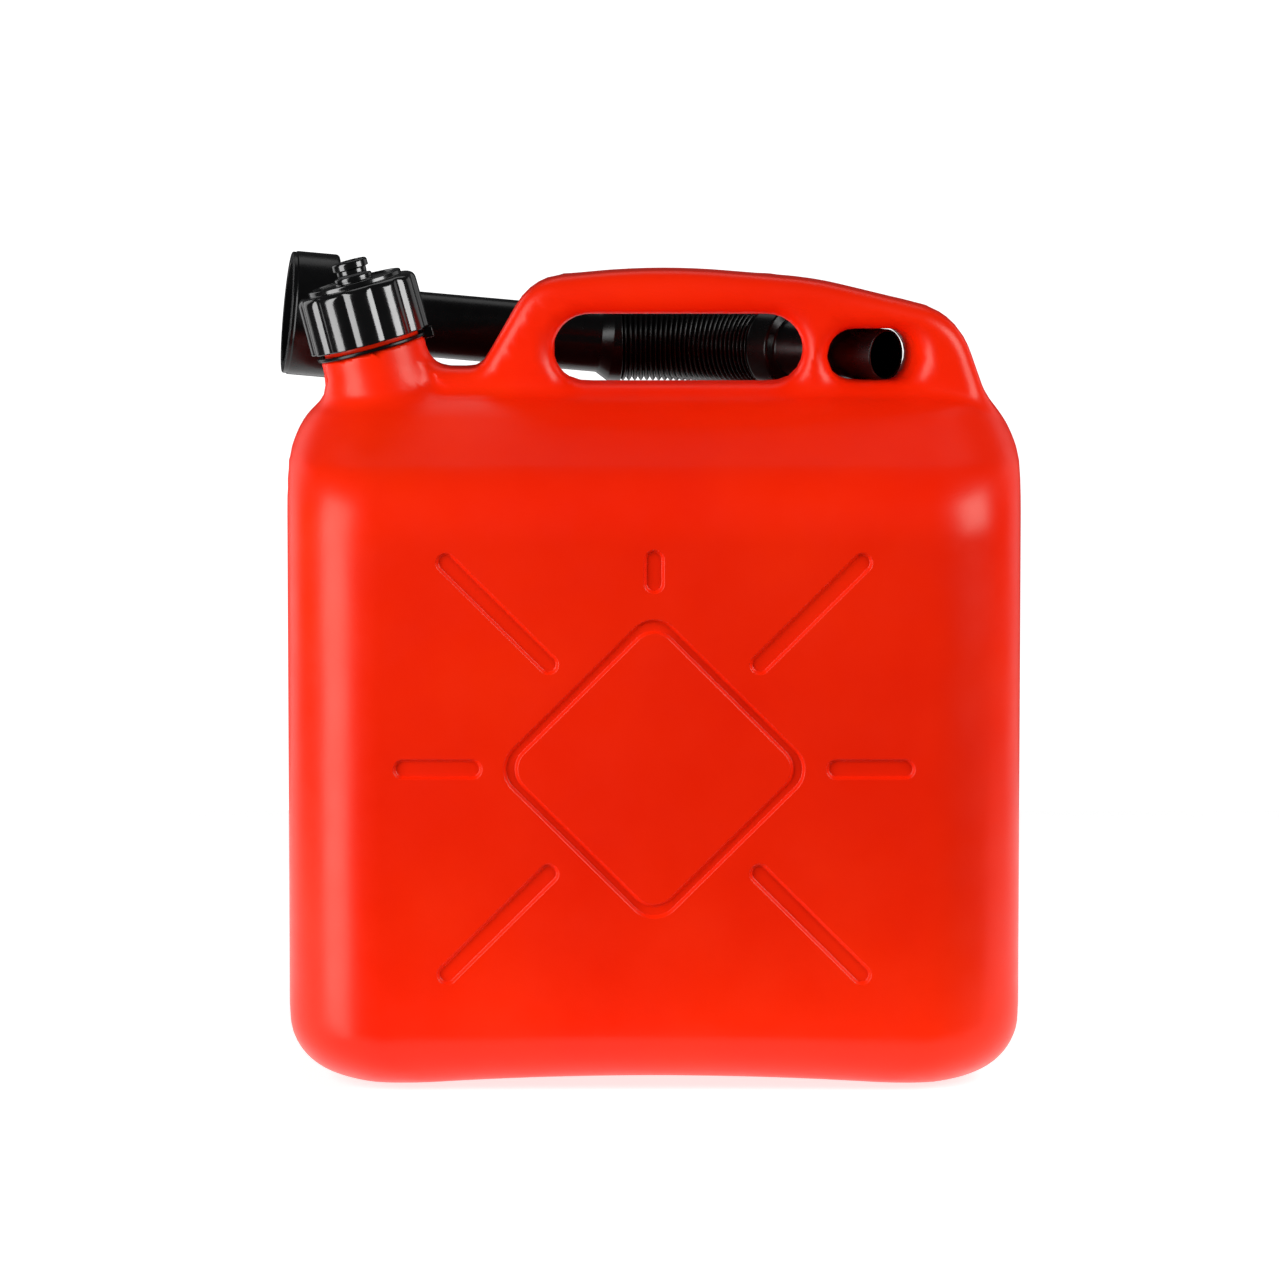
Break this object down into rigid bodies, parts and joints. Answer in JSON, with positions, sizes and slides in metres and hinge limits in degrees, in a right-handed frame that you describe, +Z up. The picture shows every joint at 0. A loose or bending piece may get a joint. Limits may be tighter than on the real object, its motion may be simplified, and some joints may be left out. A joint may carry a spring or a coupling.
{
  "type": "jerry can",
  "caption": "Red blow-moulded fuel can with a handle in its top, a tilted neck with a lobed vented screw cap, and a bendable black spout stored through the handle.",
  "frame": {"origin": "centre of the tank's base, on the surface the can stands on; the spout reaches past the tank, so the middle of the whole box is 3 mm to the left of it and 3 mm behind it", "axes": "+X to the right seen from the front, the grooved front face towards -Y, +Z up"},
  "size_m": [0.3089, 0.1553, 0.3391],
  "materials": {
    "red_shell": "satin blow-moulded polyethylene",
    "cap_black": "glossy injection-moulded plastic",
    "spout_black": "smooth semi-gloss polyethylene",
    "seal_rubber": "soft fuel-proof rubber"
  },
  "bodies": {
    "can": {"can_body": "red_shell"},
    "ring": {"neck_ring": "spout_black"},
    "liner": {"cap_liner": "seal_rubber"},
    "cap": {"screw_cap": "cap_black"},
    "vent": {"vent_plug": "cap_black", "vent_seal": "seal_rubber"},
    "nozzle": {"spout_nozzle": "spout_black", "spout_hose": "spout_black"},
    "tube": {"spout_tube": "spout_black", "spout_gasket": "seal_rubber"},
    "collar": {"spout_collar": "spout_black"}
  },
  "joints": [
    {"name": "ring_turn", "type": "hinge", "parent": "can", "child": "ring", "pos_m": [-0.11705, 0, 0.30189], "axis": [-0.2588, 0, 0.9659], "continuous": true},
    {"name": "cap_lift", "type": "slide", "parent": "can", "child": "liner", "axis": [-0.2588, 0, 0.9659], "range_m": [0, 0.048]},
    {"name": "cap_turn", "type": "hinge", "parent": "liner", "child": "cap", "pos_m": [-0.12029, 0, 0.31396], "axis": [-0.2588, 0, 0.9659], "range_deg": [0, 2880]},
    {"name": "vent_lift", "type": "slide", "parent": "cap", "child": "vent", "axis": [-0.2588, 0, 0.9659], "range_m": [0, 0.0035]},
    {"name": "spout_slide", "type": "slide", "parent": "can", "child": "nozzle", "axis": [-0.7396, 0.673, 0], "range_m": [0, 0.06]},
    {"name": "hose_bend", "type": "hinge", "parent": "nozzle", "child": "tube", "pos_m": [0.02226, 0.06737, 0.2983], "axis": [0, 0, -1], "range_deg": [0, 48.3], "deforming": ["spout_hose"]},
    {"name": "collar_turn", "type": "hinge", "parent": "tube", "child": "collar", "pos_m": [-0.15419, 0.04882, 0.31208], "axis": [0.9898, 0.104, -0.0976], "continuous": true}
  ],
  "couplings": [
    {"joint": "cap_lift", "follows": "cap_turn", "m_per_rad": 0.00095492}
  ]
}
